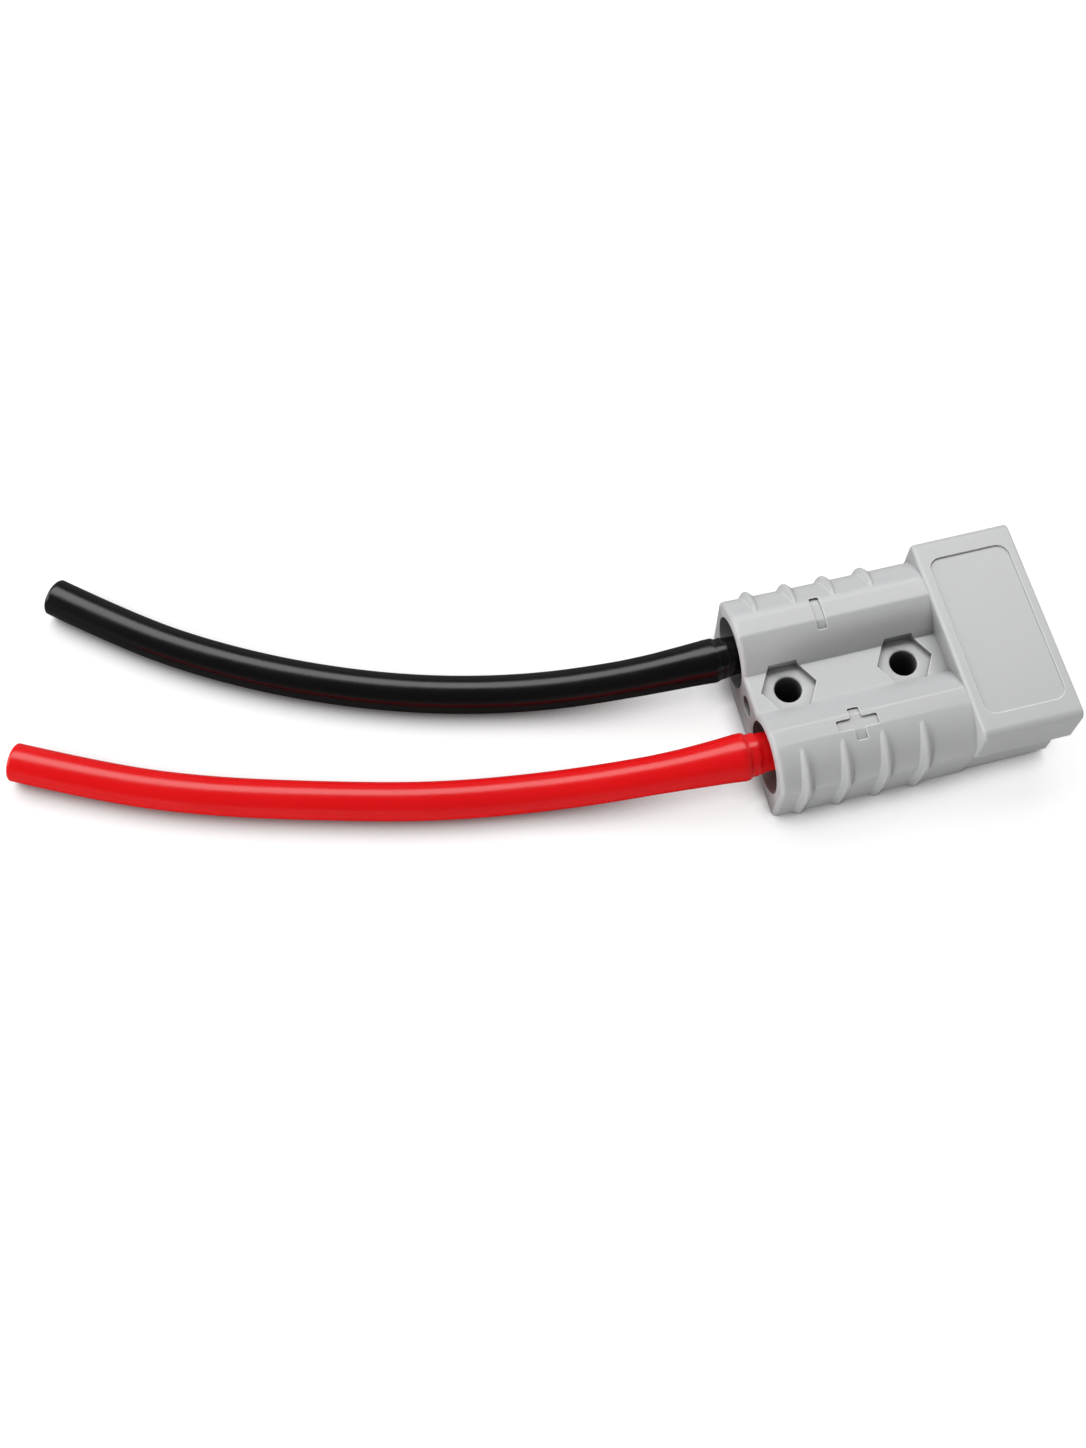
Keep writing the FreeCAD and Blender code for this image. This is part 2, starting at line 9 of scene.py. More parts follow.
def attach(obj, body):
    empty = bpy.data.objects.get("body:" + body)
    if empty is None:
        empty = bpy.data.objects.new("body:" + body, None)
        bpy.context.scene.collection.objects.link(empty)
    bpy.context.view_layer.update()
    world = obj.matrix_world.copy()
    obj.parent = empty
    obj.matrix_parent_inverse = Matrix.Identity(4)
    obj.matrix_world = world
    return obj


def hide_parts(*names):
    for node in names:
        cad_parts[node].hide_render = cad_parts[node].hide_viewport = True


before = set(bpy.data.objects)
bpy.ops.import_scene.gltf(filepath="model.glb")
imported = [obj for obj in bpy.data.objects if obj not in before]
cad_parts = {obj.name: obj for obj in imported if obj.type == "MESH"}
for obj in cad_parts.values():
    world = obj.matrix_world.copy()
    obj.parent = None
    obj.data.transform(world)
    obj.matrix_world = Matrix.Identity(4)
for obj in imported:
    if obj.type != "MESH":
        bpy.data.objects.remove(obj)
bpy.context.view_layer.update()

# Two-pole genderless power connector with a red and a black lead, lying on a white table.
# The sizes of shapes are in millimetres, with X measured from the rear face of the housing, as in
# the source of the solids. Lights, camera and the sizes inside materials are in metres.
MM = 0.001
REAR_FACE = -24.25

# The two leads. Past its first points a lead lies on the table, one radius above it.
LEAD_RADIUS = 3.15
BORE_RADIUS = 2.1
LYING = LEAD_RADIUS
RED_ROUTE = [
    (8.0, -8.75, 8.0),
    (-4.0, -8.75, 8.0),
    (-18.0, -7.6, 6.0),
    (-34.0, -5.2, LYING),
    (-52.0, -2.5, LYING),
    (-70.0, 2.2, LYING),
    (-88.0, 7.6, LYING),
    (-103.0, 13.7, LYING),
    (-116.7, 20.9, LYING),
]
BLACK_ROUTE = [
    (8.0, 8.75, 8.0),
    (-4.0, 8.75, 8.0),
    (-18.0, 9.6, 6.1),
    (-34.0, 12.5, LYING),
    (-51.0, 16.6, LYING),
    (-67.5, 23.0, LYING),
    (-82.5, 30.9, LYING),
    (-95.2, 39.6, LYING),
    (-106.4, 49.3, LYING),
]
CORD_STEPS = 16
SLEEVE_STEPS = 40

# The sleeve. SWELLING is how much thicker it is and CRUMPLE how far its folds stand out, both
# against the distance from its end in the crimp: it is pushed up just before the mouth.
SLEEVE_SIDES = 48
LIP = 0.12
SWELLING = [
    (130.0, 0.0), (26.0, 0.0), (21.0, 0.10), (15.0, 0.32), (12.0, 0.48), (11.4, 0.50),
    (10.9, 0.44), (10.4, 0.20), (9.2, 0.18), (8.7, 0.06), (7.0, 0.0), (0.0, 0.0),
]
CRUMPLE = [
    (130.0, 0.0), (14.5, 0.0), (11.4, 0.05), (9.5, 0.10), (8.0, 0.07), (6.0, 0.0), (0.0, 0.0),
]
CRUMPLE_PER_MM = 2.6
FOLDS_AROUND = 5
FOLD_BEATS = 2
FOLD_LAG = 0.7

# The bare strands inside: one in the middle and rings of 6, 12 and 18 around it.
STRAND_SIDES = 8
STRAND_RADIUS = 0.285
STRAND_LAYERS = 3
LAYER_TURN = 0.2
STRAND_TIP = 0.8
TWIST_PITCH = 60.0
CRIMP_DEPTH = 8.6

# The round cheeks of the barrels, and the ribs of the solid that stand on them.
CHEEK_ACROSS = 9.0
CHEEK_UP = 6.5
RIB_FIRST = 4.4
RIB_PITCH = 6.5
RIB_COUNT = 4

# The fin over each rib, drawn at angles up from the level as seen along the barrel. Its height is
# measured from the cheek, which is bare at FIN_CLEAR before and behind the middle of a rib.
FIN_HEIGHTS = [
    (71.0, -0.05), (64.0, 0.28), (57.0, 0.50), (45.0, 0.76), (33.0, 0.90), (20.0, 0.92),
    (0.0, 0.84), (-38.0, 0.68),
]
FIN_TOP = 71.0
FIN_FOOT = -36.5
FIN_STEPS = 40
FIN_CLEAR = 1.8
FIN_ROOT = 0.25
FIN_SPREAD = 0.85
FIN_REACH = 18.1
CROWN_HALF = 0.38
CROWN_EDGE_DROP = 0.14
CROWN_MIDWAY_DROP = 0.035

# The signs sunk into the crests, cut by tools that stand from SIGN_FOOT to SIGN_HEAD.
SIGN_DEPTH = 0.4
SIGN_FOOT = 13.2
SIGN_HEAD = 17.0
SHARP_DEGREES = 32.0

# The white surround: its light on the part, and what the part's reflections see of it.
WORLD_FILL = 0.25
WORLD_HORIZON = 0.25
WORLD_OVERHEAD = 0.05

FLOAT = "NodeSocketFloat"
COLOUR = "NodeSocketColor"
MID_GREY = (0.5, 0.5, 0.5, 1.0)
EDGE_SAMPLES = 6


def metres(point):
    """The place in the scene of a point in millimetres from the rear face."""
    x, y, z = point
    return Vector(((x + REAR_FACE) * MM, y * MM, z * MM))


def new_group(name, inputs, outputs):
    """A shader group: inputs are (name, kind, value), outputs (name, kind). Comes with the sockets
    that bring its values in and those that take its results out."""
    group = bpy.data.node_groups.new(name, "ShaderNodeTree")
    for title, kind, value in inputs:
        socket = group.interface.new_socket(name=title, in_out="INPUT", socket_type=kind)
        socket.default_value = value
    for title, kind in outputs:
        group.interface.new_socket(name=title, in_out="OUTPUT", socket_type=kind)
    given = group.nodes.new("NodeGroupInput").outputs
    results = group.nodes.new("NodeGroupOutput").inputs
    return group, given, results


def add_node(tree, kind, settings=None, **links):
    """Add a node, set its properties, and link or set its input sockets by name."""
    node = tree.nodes.new(kind)
    for key, value in (settings or {}).items():
        setattr(node, key, value)
    for key, value in links.items():
        socket = node.inputs[key.replace("_", " ")]
        if isinstance(value, bpy.types.NodeSocket):
            tree.links.new(value, socket)
        else:
            socket.default_value = value
    return node


def maths(tree, operation, first, second=0.0, third=None):
    """A Math node; each value is a number or a socket."""
    node = tree.nodes.new("ShaderNodeMath")
    node.operation = operation
    values = [first, second] if third is None else [first, second, third]
    for index, value in enumerate(values):
        if isinstance(value, bpy.types.NodeSocket):
            tree.links.new(value, node.inputs[index])
        else:
            node.inputs[index].default_value = value
    return node.outputs[0]


def object_place(tree):
    return tree.nodes.new("ShaderNodeTexCoord").outputs["Object"]


def noise(tree, place, scale, detail):
    node = add_node(tree, "ShaderNodeTexNoise", Vector=place, Scale=scale, Detail=detail)
    return node.outputs["Fac"]


def ramp(tree, value, start, end, low=0.0, high=1.0, blend="LINEAR"):
    """Low where the value is at start, high where it is at end, and held beyond both."""
    node = add_node(tree, "ShaderNodeMapRange", {"interpolation_type": blend}, Value=value,
                    From_Min=start, From_Max=end, To_Min=low, To_Max=high)
    return node.outputs["Result"]


def openness(tree, reach, samples):
    """One where nothing stands near within reach, and less in hollows."""
    node = add_node(tree, "ShaderNodeAmbientOcclusion", {"samples": samples}, Distance=reach)
    return node.outputs["AO"]


def scaled(tree, colour, factor):
    """A colour made darker or paler by a factor."""
    node = add_node(tree, "ShaderNodeVectorMath", {"operation": "SCALE"}, Scale=factor)
    tree.links.new(colour, node.inputs[0])
    return node.outputs[0]


def surface_grain_group():
    """Fine moulded skin: an even pebbling with a slower waviness, as a height."""
    group, given, results = new_group(
        "surface_grain",
        [("Fine Scale", FLOAT, 1500.0), ("Wave Scale", FLOAT, 120.0), ("Wave Share", FLOAT, 0.5)],
        [("Height", FLOAT)],
    )
    place = object_place(group)
    fine = noise(group, place, given["Fine Scale"], detail=3.0)
    wave = noise(group, place, given["Wave Scale"], detail=1.0)
    height = maths(group, "ADD", fine, maths(group, "MULTIPLY", wave, given["Wave Share"]))
    group.links.new(height, results["Height"])
    return group


def tone_drift_group():
    """A colour that drifts a little over the surface, lighter and darker."""
    group, given, results = new_group(
        "tone_drift",
        [("Colour", COLOUR, MID_GREY), ("Amount", FLOAT, 0.05), ("Scale", FLOAT, 60.0)],
        [("Colour", COLOUR)],
    )
    cloud = noise(group, object_place(group), given["Scale"], detail=4.0)
    swing = maths(group, "MULTIPLY", maths(group, "SUBTRACT", cloud, 0.5), given["Amount"])
    factor = maths(group, "ADD", swing, 1.0)
    group.links.new(scaled(group, given["Colour"], factor), results["Colour"])
    return group


def rubbed_patches_group():
    """Roughness that varies in soft patches with a few fine rubbed streaks."""
    group, given, results = new_group(
        "rubbed_patches",
        [("Roughness", FLOAT, 0.4), ("Change", FLOAT, 0.1), ("Scale", FLOAT, 90.0)],
        [("Roughness", FLOAT)],
    )
    streak_share = 0.15
    middle = 0.57
    place = object_place(group)
    patches = noise(group, place, given["Scale"], detail=5.0)
    stretched = add_node(group, "ShaderNodeMapping", Vector=place, Scale=(40.0, 900.0, 300.0))
    streaks = noise(group, stretched.outputs[0], scale=1.0, detail=2.0)
    both = maths(group, "ADD", patches, maths(group, "MULTIPLY", streaks, streak_share))
    swing = maths(group, "MULTIPLY", maths(group, "SUBTRACT", both, middle), given["Change"])
    group.links.new(maths(group, "ADD", swing, given["Roughness"]), results["Roughness"])
    return group


def deep_shade_group():
    """A colour painted darker deep inside holes and mouths: painted shade, where little light
    reaches.
    """
    group, given, results = new_group(
        "deep_shade",
        [("Colour", COLOUR, MID_GREY), ("Reach", FLOAT, 0.014), ("Darkest", FLOAT, 0.2)],
        [("Colour", COLOUR)],
    )
    factor = ramp(group, openness(group, given["Reach"], samples=8), start=0.12, end=0.60,
                  low=given["Darkest"], blend="SMOOTHSTEP")
    group.links.new(scaled(group, given["Colour"], factor), results["Colour"])
    return group


def pale_edges_group():
    """A colour made paler on the outer edges: a painted highlight along them, and partly rubbed
    wear from handling.
    """
    group, given, results = new_group(
        "pale_edges",
        [("Colour", COLOUR, MID_GREY), ("Paler", FLOAT, 0.3)],
        [("Colour", COLOUR)],
    )
    edge_width = 0.00035
    hollow_width = 0.001
    plain = group.nodes.new("ShaderNodeNewGeometry").outputs["Normal"]
    eased = add_node(group, "ShaderNodeBevel", {"samples": EDGE_SAMPLES}, Radius=edge_width)
    likeness = add_node(group, "ShaderNodeVectorMath", {"operation": "DOT_PRODUCT"})
    group.links.new(plain, likeness.inputs[0])
    group.links.new(eased.outputs[0], likeness.inputs[1])
    edge = ramp(group, likeness.outputs["Value"], start=0.995, end=0.90)
    outer = ramp(group, openness(group, hollow_width, EDGE_SAMPLES), start=0.75, end=0.95)
    mask = maths(group, "MULTIPLY", edge, outer)
    factor = maths(group, "MULTIPLY_ADD", mask, given["Paler"], 1.0)
    group.links.new(scaled(group, given["Colour"], factor), results["Colour"])
    return group


GRAIN = surface_grain_group()
DRIFT = tone_drift_group()
PATCHES = rubbed_patches_group()
# Painted shade deep inside holes and mouths.
DEPTH = deep_shade_group()
# Painted highlight along the outer edges, partly rubbed wear.
EDGE_SHEEN_AND_WEAR = pale_edges_group()


def use_group(tree, group, **values):
    """Place a group in a material and set its inputs."""
    node = tree.nodes.new("ShaderNodeGroup")
    node.node_tree = group
    for key, value in values.items():
        node.inputs[key.replace("_", " ")].default_value = value
    return node


def new_material(name, colour, roughness, drift=0.05, drift_scale=60.0, change=0.1, bump=0.3,
                 bump_distance=0.00002, fine_scale=1500.0, wave_scale=120.0, wave_share=0.5,
                 **fixed):
    """A Principled material whose colour, roughness and bump all vary over the surface.
    Any further values are set on the Principled node as they are."""
    material = bpy.data.materials.new(name)
    material.use_nodes = True
    tree = material.node_tree
    shader = tree.nodes["Principled BSDF"]
    for key, value in fixed.items():
        shader.inputs[key.replace("_", " ")].default_value = value
    tone = use_group(tree, DRIFT, Colour=(*colour, 1.0), Amount=drift, Scale=drift_scale)
    rubbed = use_group(tree, PATCHES, Roughness=roughness, Change=change)
    grain = use_group(
        tree, GRAIN, Fine_Scale=fine_scale, Wave_Scale=wave_scale, Wave_Share=wave_share)
    relief = add_node(tree, "ShaderNodeBump", Strength=bump, Distance=bump_distance,
                      Height=grain.outputs["Height"])
    tree.links.new(tone.outputs["Colour"], shader.inputs["Base Color"])
    tree.links.new(rubbed.outputs["Roughness"], shader.inputs["Roughness"])
    tree.links.new(relief.outputs[0], shader.inputs["Normal"])
    return material


def paint_shade_sheen_and_wear(material, darkest, paler, edge_radius):
    """Darken a material in deep places as painted shade, make it paler on outer edges as painted
    highlight and partly wear, and soften those edges.
    """
    tree = material.node_tree
    shader = tree.nodes["Principled BSDF"]
    colour = shader.inputs["Base Color"]
    # darker in hollows: painted shade
    deep = use_group(tree, DEPTH, Darkest=darkest)
    # paler on outer edges: painted highlight, partly rubbed wear
    rubbed = use_group(tree, EDGE_SHEEN_AND_WEAR, Paler=paler)
    tree.links.new(colour.links[0].from_socket, deep.inputs["Colour"])
    tree.links.new(deep.outputs["Colour"], rubbed.inputs["Colour"])
    tree.links.new(rubbed.outputs["Colour"], colour)
    relief = shader.inputs["Normal"].links[0].from_node
    eased = add_node(tree, "ShaderNodeBevel", {"samples": EDGE_SAMPLES}, Radius=edge_radius)
    tree.links.new(eased.outputs[0], relief.inputs["Normal"])


GREY_PLASTIC = new_material(
    "grey_moulded_plastic", (0.52, 0.525, 0.53), 0.31, change=0.05, bump=0.35,
    Specular_IOR_Level=0.6,
)
# Painted shade in the hollows, painted highlight and some wear on the edges.
paint_shade_sheen_and_wear(GREY_PLASTIC, darkest=0.14, paler=0.6, edge_radius=0.00022)
SOFT_SKIN = {
    "drift_scale": 90.0, "bump_distance": 0.00004, "fine_scale": 900.0, "wave_scale": 160.0,
    "wave_share": 1.2,
}
RED_PVC = new_material("red_soft_pvc", (0.77, 0.003, 0.005), 0.25, drift=0.10, **SOFT_SKIN)
BLACK_PVC = new_material(
    "black_soft_pvc", (0.004, 0.004, 0.0045), 0.24, drift=0.20, change=0.12, **SOFT_SKIN)
COPPER = new_material(
    "bright_copper_strands", (0.78, 0.38, 0.20), 0.30, drift=0.25, drift_scale=700.0, change=0.15,
    bump=0.2, Metallic=1.0,
)
SILVERED = new_material(
    "silver_plated_contact", (0.76, 0.75, 0.72), 0.24, drift=0.08, drift_scale=200.0, change=0.15,
    bump=0.2, Metallic=1.0,
)
SPRING_STEEL = new_material(
    "spring_steel", (0.52, 0.52, 0.53), 0.30, drift=0.10, drift_scale=200.0, change=0.15,
    bump=0.25, Metallic=1.0,
)


def dress(node, material):
    """Give a solid of the frame a finished material."""
    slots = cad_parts[node].data.materials
    slots.clear()
    slots.append(material)


for pole in ("positive", "negative"):
    dress("contact_" + pole, SILVERED)
    dress("spring_" + pole, SPRING_STEEL)


def link(item):
    bpy.context.scene.collection.objects.link(item)
    return item


def mesh_piece(name, points, faces, material):
    """A smooth mesh object that rides on the part."""
    mesh = bpy.data.meshes.new(name)
    mesh.from_pydata(points, [], faces)
    mesh.update()
    for polygon in mesh.polygons:
        polygon.use_smooth = True
    piece = link(bpy.data.objects.new(name, mesh))
    mesh.materials.append(material)
    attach(piece, "root")
    return piece


def plain_object(name, points, faces):
    """A mesh object with its doubled corners joined and its faces turned outwards."""
    same_corner = 0.0000002
    mesh = bpy.data.meshes.new(name)
    mesh.from_pydata(points, [], faces)
    build = bmesh.new()
    build.from_mesh(mesh)
    bmesh.ops.remove_doubles(build, verts=build.verts, dist=same_corner)
    bmesh.ops.recalc_face_normals(build, faces=build.faces)
    build.to_mesh(mesh)
    build.free()
    return link(bpy.data.objects.new(name, mesh))


def solid_copy(name, node, lowered=0.0):
    """A copy of a solid of the frame, set down by some metres."""
    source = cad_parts[node]
    drop = Vector((0.0, 0.0, lowered))
    points = [source.matrix_world @ vertex.co - drop for vertex in source.data.vertices]
    return plain_object(name, points, [tuple(face.vertices) for face in source.data.polygons])


def settle(piece):
    """Replace the object's mesh by the result of its modifiers."""
    bpy.context.view_layer.update()
    evaluated = piece.evaluated_get(bpy.context.evaluated_depsgraph_get())
    result = bpy.data.meshes.new_from_object(evaluated)
    piece.modifiers.clear()
    piece.data = result


def combine(piece, tool, operation):
    """Take the tool's volume from the piece, or join it on."""
    step = piece.modifiers.new("combine", "BOOLEAN")
    step.operation = operation
    step.solver = "EXACT"
    step.object = tool
    settle(piece)
    bpy.data.objects.remove(tool)


def ring_faces(rows, sides, closed=False):
    """Quads between consecutive rings of points, and back to the first ring if closed."""
    faces = []
    for row in range(rows if closed else rows - 1):
        following = (row + 1) % rows
        for step in range(sides):
            beside = (step + 1) % sides
            faces.append((row * sides + step, row * sides + beside,
                          following * sides + beside, following * sides + step))
    return faces


def end_faces(rows, sides):
    """A face in the first and in the last of the rings, both run the same way round."""
    return [tuple(range(sides)), tuple(range((rows - 1) * sides, rows * sides))]


def rounded(corners, radius):
    """The corners of an outline, each replaced by a short curve."""
    outline = []
    for index, corner in enumerate(corners):
        start = corner + (corners[index - 1] - corner).normalized() * radius
        end = corner + (corners[(index + 1) % len(corners)] - corner).normalized() * radius
        for share in (0.0, 0.33, 0.67, 1.0):
            rest = 1 - share
            outline.append(start * rest ** 2 + corner * 2 * share * rest + end * share ** 2)
    return outline


def prism(name, outline, bottom, top):
    """An upright prism between two heights, all in millimetres from the rear face."""
    points = [metres((place.x, place.y, height)) for height in (bottom, top) for place in outline]
    sides = len(outline)
    return plain_object(name, points, end_faces(2, sides) + ring_faces(2, sides))


def plus_outline(centre, half_long, half_wide, arm, radius):
    corners = [
        (half_long, -arm), (half_long, arm), (arm, arm),
        (arm, half_wide), (-arm, half_wide), (-arm, arm),
        (-half_long, arm), (-half_long, -arm), (-arm, -arm),
        (-arm, -half_wide), (arm, -half_wide), (arm, -arm),
    ]
    return rounded([Vector(centre) + Vector(corner) for corner in corners], radius)


def bar_outline(centre, half_long, half_wide, radius):
    corners = [
        (half_long, -half_wide), (half_long, half_wide),
        (-half_long, half_wide), (-half_long, -half_wide),
    ]
    return rounded([Vector(centre) + Vector(corner) for corner in corners], radius)


def between(table, value):
    """Read a table of (place, amount) with falling places, in straight steps."""
    for (high, first), (low, second) in zip(table, table[1:]):
        if value >= low:
            share = (high - value) / (high - low)
            return first + (second - first) * min(max(share, 0.0), 1.0)
    return table[-1][1]


def cheek_distance(skin, along, side, angle):
    """Millimetres from the middle of a round cheek out to the skin of the solid, at an angle."""
    well_outside = 30.0 * MM
    middle = metres((along, side * CHEEK_ACROSS, CHEEK_UP))
    out = Vector((0.0, side * math.cos(angle), math.sin(angle)))
    hit = skin.ray_cast(middle + out * well_outside, -out)[0]
    return (hit - middle).length / MM


def fin_profile(plain, height):
    """Half a fin's thickness and its distance from the middle of the cheek, over the crown."""
    crown = plain + height
    half = [
        (CROWN_HALF + (height + FIN_ROOT) * FIN_SPREAD, plain - FIN_ROOT),
        (CROWN_HALF, crown - CROWN_EDGE_DROP),
        (0.5 * CROWN_HALF, crown - CROWN_MIDWAY_DROP),
    ]
    return [(-shift, distance) for shift, distance in half] + [(0.0, crown)] + half[::-1]


def fin(skin, along, side):
    """A thin fin that follows the cheek over a rib of the solid, from the crest to the foot."""
    points = []
    for step in range(FIN_STEPS + 1):
        degrees = FIN_TOP + (FIN_FOOT - FIN_TOP) * step / FIN_STEPS
        angle = math.radians(degrees)
        rear = cheek_distance(skin, along - FIN_CLEAR, side, angle)
        front = cheek_distance(skin, along + FIN_CLEAR, side, angle)
        profile = fin_profile((rear + front) / 2, between(FIN_HEIGHTS, degrees))
        for shift, distance in profile:
            across = min(CHEEK_ACROSS + distance * math.cos(angle), FIN_REACH)
            up = max(CHEEK_UP + distance * math.sin(angle), 0.0)
            points.append(metres((along + shift, side * across, up)))
    rows = FIN_STEPS + 1
    sides = len(profile)
    return plain_object("fin", points, ring_faces(rows, sides) + end_faces(rows, sides))


def sink_sign(shell, name, outline):
    """Sink an outline into the crest, everywhere as deep below the skin of the solid."""
    tool = prism(name, outline, SIGN_FOOT, SIGN_HEAD)
    combine(tool, solid_copy("lowered", "housing", SIGN_DEPTH * MM), "DIFFERENCE")
    combine(shell, tool, "DIFFERENCE")


def housing_shell():
    """The moulded housing with its two signs sunk into the crests and a fin over each rib."""
    shell = solid_copy("housing_shell", "housing")
    skin = BVHTree.FromPolygons([vertex.co for vertex in shell.data.vertices],
                                [tuple(polygon.vertices) for polygon in shell.data.polygons])
    sink_sign(shell, "plus_tool", plus_outline(
        centre=(14.0, -10.1), half_long=3.35, half_wide=2.75, arm=0.9, radius=0.3))
    sink_sign(shell, "minus_tool", bar_outline(
        centre=(13.9, 9.7), half_long=0.8, half_wide=2.7, radius=0.4))
    for side in (-1, 1):
        for count in range(RIB_COUNT):
            combine(shell, fin(skin, RIB_FIRST + RIB_PITCH * count, side), "UNION")
    points = [vertex.co.copy() for vertex in shell.data.vertices]
    faces = [tuple(polygon.vertices) for polygon in shell.data.polygons]
    bpy.data.objects.remove(shell)
    piece = mesh_piece("housing_shell", points, faces, GREY_PLASTIC)
    piece.data.set_sharp_from_angle(angle=math.radians(SHARP_DEGREES))
    weighted = piece.modifiers.new("weighted", "WEIGHTED_NORMAL")
    weighted.keep_sharp = True
    settle(piece)
    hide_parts("housing")


def smooth_line(name, route, resolution):
    """The line of the NURBS spline that has the route as its control points."""
    curve = bpy.data.curves.new(name, "CURVE")
    curve.dimensions = "3D"
    spline = curve.splines.new("NURBS")
    spline.points.add(len(route) - 1)
    for control, point in zip(spline.points, route):
        control.co = (*metres(point), 1.0)
    spline.order_u = 3
    spline.use_endpoint_u = True
    spline.resolution_u = resolution
    holder = link(bpy.data.objects.new(name, curve))
    bpy.context.view_layer.update()
    mesh = bpy.data.meshes.new_from_object(holder)
    line = [vertex.co.copy() for vertex in mesh.vertices]
    bpy.data.objects.remove(holder)
    bpy.data.meshes.remove(mesh)
    if (line[0] - metres(route[0])).length > (line[-1] - metres(route[0])).length:
        line.reverse()
    return line


def side_frames(line):
    """Along the line: point, forward, and two directions across it that don't twist."""
    frames = []
    across = Vector((0.0, 0.0, 1.0))
    for index, point in enumerate(line):
        before = line[max(index - 1, 0)]
        after = line[min(index + 1, len(line) - 1)]
        forward = (after - before).normalized()
        across = (across - forward * across.dot(forward)).normalized()
        frames.append((point, forward, across, forward.cross(across)))
    return frames


def lengths_along(line):
    """The length of the line up to each of its points."""
    total = 0.0
    lengths = [0.0]
    for first, second in zip(line, line[1:]):
        total += (second - first).length
        lengths.append(total)
    return lengths


def ring(frame_at, radius, sides, shift=0.0, crumple=0.0, phase=0.0):
    """A ring of points round a frame, set forward by a shift. A crumple moves them out and in by
    turns, in folds that grow and fade round the ring and travel on with the phase."""
    point, forward, across, beside = frame_at
    corners = []
    for step in range(sides):
        angle = 2 * math.pi * step / sides
        out = across * math.cos(angle) + beside * math.sin(angle)
        fold = math.sin(FOLDS_AROUND * angle + phase)
        beat = math.cos(FOLD_BEATS * angle - FOLD_LAG * phase)
        corners.append(point + forward * shift + out * (radius + crumple * fold * beat))
    return corners


def insulation(name, line, material, swelling):
    """A hollow sleeve with chamfered lips at its ends, pushed up where it enters the housing: the
    lead's own swelling scales the table SWELLING."""
    frames = side_frames(line)
    last = len(frames) - 1
    outside = LEAD_RADIUS * MM
    lip = LIP * MM
    rings = []
    for index, (place, length) in enumerate(zip(frames, lengths_along(line))):
        distance = length / MM
        radius = outside + between(SWELLING, distance) * swelling * MM
        if index in (0, last):
            radius -= lip
        crumple = between(CRUMPLE, distance) * MM
        rings.append(ring(place, radius, SLEEVE_SIDES, crumple=crumple,
                          phase=distance * CRUMPLE_PER_MM))
        if index == 0:
            rings.append(ring(place, outside, SLEEVE_SIDES, lip))
        if index == last - 1:
            rings.append(ring(frames[last], outside, SLEEVE_SIDES, -lip))
    for place in reversed(frames):
        rings.append(ring(place, BORE_RADIUS * MM, SLEEVE_SIDES))
    points = [point for around in rings for point in around]
    faces = ring_faces(len(rings), SLEEVE_SIDES, closed=True)
    return mesh_piece(name, points, faces, material)


def strand_places():
    """Centres of the strands across the bundle: one in the middle and the layers around it."""
    places = [(0.0, 0.0)]
    for layer in range(1, STRAND_LAYERS + 1):
        number = 6 * layer
        reach = layer * (BORE_RADIUS - STRAND_RADIUS) / STRAND_LAYERS
        for step in range(number):
            angle = 2 * math.pi * step / number + LAYER_TURN * layer
            places.append((reach * math.cos(angle), reach * math.sin(angle)))
    return places


def strands(name, line, material):
    """The bundle of bare strands inside a sleeve, with a slow twist and narrowed tips."""
    frames = side_frames(line)
    lengths = lengths_along(line)
    rows = len(frames)
    first_end, last_end = end_faces(rows, STRAND_SIDES)
    strand_faces = ring_faces(rows, STRAND_SIDES) + [first_end[::-1], last_end]
    points = []
    faces = []
    for place_across, place_beside in strand_places():
        base = len(points)
        faces.extend(tuple(base + corner for corner in face) for face in strand_faces)
        for index, (point, forward, across, beside) in enumerate(frames):
            angle = 2 * math.pi * lengths[index] / (TWIST_PITCH * MM)
            first = place_across * math.cos(angle) - place_beside * math.sin(angle)
            second = place_across * math.sin(angle) + place_beside * math.cos(angle)
            centre = point + (across * first + beside * second) * MM
            share = STRAND_TIP if index in (0, rows - 1) else 1.0
            radius = STRAND_RADIUS * MM * share
            points.extend(ring((centre, forward, across, beside), radius, STRAND_SIDES))
    return mesh_piece(name, points, faces, material)


def lead(colour, pole, route, material, swelling):
    """A sleeve with its strands, laid along a route from the crimp to the cut end."""
    line = smooth_line(colour + "_line", route, CORD_STEPS)
    fine_line = smooth_line(colour + "_fine_line", route, SLEEVE_STEPS)
    sleeve = insulation(colour + "_insulation", fine_line, material, swelling)
    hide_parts("insulation_" + pole)
    crimp_end = line[0] + Vector((CRIMP_DEPTH * MM, 0.0, 0.0))
    bundle = strands(colour + "_strands", [crimp_end] + line, COPPER)
    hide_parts("conductor_" + pole)


housing_shell()
lead("red", "positive", RED_ROUTE, RED_PVC, swelling=1.5)
lead("black", "negative", BLACK_ROUTE, BLACK_PVC, swelling=1.0)


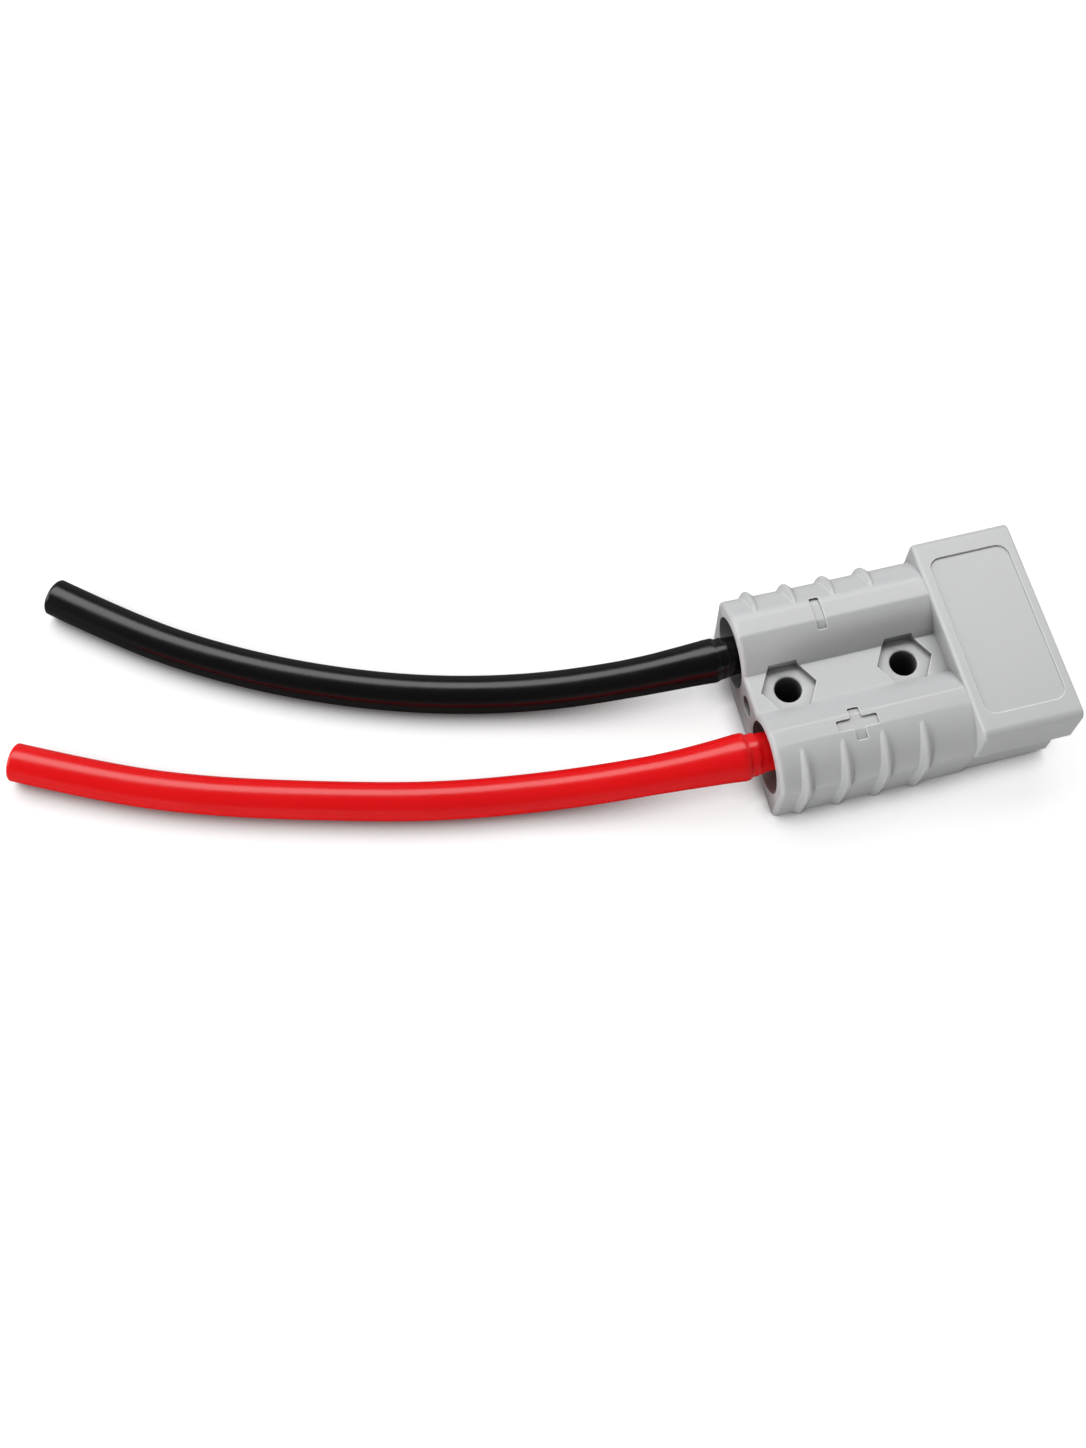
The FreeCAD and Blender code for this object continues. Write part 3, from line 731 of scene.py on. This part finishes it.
def pale_surface(name, tone, seen_tone, mirrored_tone, lift, reach):
    """A pale matt surface. The camera sees it lifted to white by a glow that fades where something
    stands over it within reach, a painted contact shadow. Reflections see it in a darker tone."""
    material = bpy.data.materials.new(name)
    material.use_nodes = True
    tree = material.node_tree
    tree.nodes.clear()
    output = tree.nodes.new("ShaderNodeOutputMaterial")
    rays = tree.nodes.new("ShaderNodeLightPath").outputs
    level = maths(tree, "MULTIPLY_ADD", rays["Is Camera Ray"], seen_tone - tone, tone)
    level = maths(tree, "MULTIPLY_ADD", rays["Is Glossy Ray"], mirrored_tone - tone, level)
    shade = add_node(tree, "ShaderNodeCombineColor", Red=level, Green=level, Blue=level)
    matt = add_node(tree, "ShaderNodeBsdfDiffuse", Color=shade.outputs[0])
    # painted contact shadow: the glow fades where something stands close over the surface
    clear = ramp(tree, openness(tree, reach, samples=8), start=0.26, end=0.88, blend="SMOOTHSTEP")
    strength = maths(tree, "MULTIPLY", maths(tree, "MULTIPLY", rays["Is Camera Ray"], lift), clear)
    glow = add_node(tree, "ShaderNodeEmission", Strength=strength)
    both = tree.nodes.new("ShaderNodeAddShader")
    tree.links.new(matt.outputs[0], both.inputs[0])
    tree.links.new(glow.outputs[0], both.inputs[1])
    tree.links.new(both.outputs[0], output.inputs["Surface"])
    return material


def make_floor():
    """A wide white table under the connector."""
    half = 1.5
    mesh = bpy.data.meshes.new("floor")
    corners = [(-half, -half, 0.0), (half, -half, 0.0), (half, half, 0.0), (-half, half, 0.0)]
    mesh.from_pydata(corners, [], [(0, 1, 2, 3)])
    floor = link(bpy.data.objects.new("floor", mesh))
    mesh.materials.append(pale_surface(
        "white_table", tone=0.90, seen_tone=0.34, mirrored_tone=0.14, lift=0.78, reach=0.006))


def make_world():
    """White to the camera. Reflections see it dim at the horizon and nearly dark overhead."""
    world = bpy.data.worlds.new("white_surround")
    bpy.context.scene.world = world
    world.use_nodes = True
    tree = world.node_tree
    background = tree.nodes["Background"]
    rays = tree.nodes.new("ShaderNodeLightPath").outputs
    ray_direction = tree.nodes.new("ShaderNodeTexCoord").outputs["Generated"]
    height = add_node(tree, "ShaderNodeSeparateXYZ", Vector=ray_direction).outputs["Z"]
    wall = ramp(tree, height, start=0.05, end=0.45, low=WORLD_HORIZON, high=WORLD_OVERHEAD)
    reflected = maths(tree, "MAXIMUM", rays["Is Glossy Ray"], rays["Is Transmission Ray"])
    dimming = maths(tree, "SUBTRACT", wall, WORLD_FILL)
    spread = maths(tree, "MULTIPLY_ADD", reflected, dimming, WORLD_FILL)
    seen = rays["Is Camera Ray"]
    strength = maths(tree, "MULTIPLY_ADD", seen, maths(tree, "SUBTRACT", 1.0, spread), spread)
    tree.links.new(strength, background.inputs["Strength"])
    background.inputs["Color"].default_value = (1.0, 1.0, 1.0, 1.0)


def area_light(name, place, aim, size, power, reflected=True):
    """A rectangular light. One that isn't reflected leaves no highlight."""
    lamp = bpy.data.lights.new(name, "AREA")
    lamp.shape = "RECTANGLE"
    lamp.size, lamp.size_y = size
    lamp.energy = power
    holder = link(bpy.data.objects.new(name, lamp))
    holder.location = place
    direction = Vector(aim) - Vector(place)
    holder.rotation_euler = direction.to_track_quat("-Z", "Y").to_euler()
    holder.visible_glossy = reflected


def make_camera():
    """The photograph's viewpoint, found by fitting the housing's corners and the leads."""
    azimuth = math.radians(-13.7375)
    elevation = math.radians(66.6082)
    roll = math.radians(-0.3375)
    place = Vector((-0.08218, -0.09849, 0.25319))
    focal_pixels = 1670.0
    picture_height = 1448.0
    back = Vector((math.sin(azimuth) * math.cos(elevation),
                   -math.cos(azimuth) * math.cos(elevation), math.sin(elevation)))
    right = Vector((math.cos(azimuth), math.sin(azimuth), 0.0))
    up = back.cross(right)
    rolled_right = right * math.cos(roll) + up * math.sin(roll)
    rolled_up = up * math.cos(roll) - right * math.sin(roll)
    lens = bpy.data.cameras.new("camera")
    lens.sensor_width = 36.0
    lens.lens = focal_pixels / picture_height * lens.sensor_width
    lens.clip_start = 0.005
    lens.clip_end = 20.0
    camera = link(bpy.data.objects.new("camera", lens))
    turn = Matrix((rolled_right, rolled_up, back)).transposed()
    camera.matrix_world = Matrix.Translation(place) @ turn.to_4x4()
    bpy.context.scene.camera = camera


make_floor()
make_world()
area_light("far_softbox", place=(-0.05, 0.43, 0.62), aim=(-0.03, 0.0, 0.0), size=(1.20, 0.44),
           power=6.2)
area_light("near_fill", place=(-0.50, -0.56, 0.035), aim=(0.0, 0.0, 0.0), size=(0.50, 0.06),
           power=2.5, reflected=False)
area_light("rear_strip", place=(-0.70, 0.25, 0.28), aim=(-0.02, 0.0, 0.0), size=(0.50, 0.20),
           power=1.3)
make_camera()
bpy.context.scene.view_settings.view_transform = "Standard"
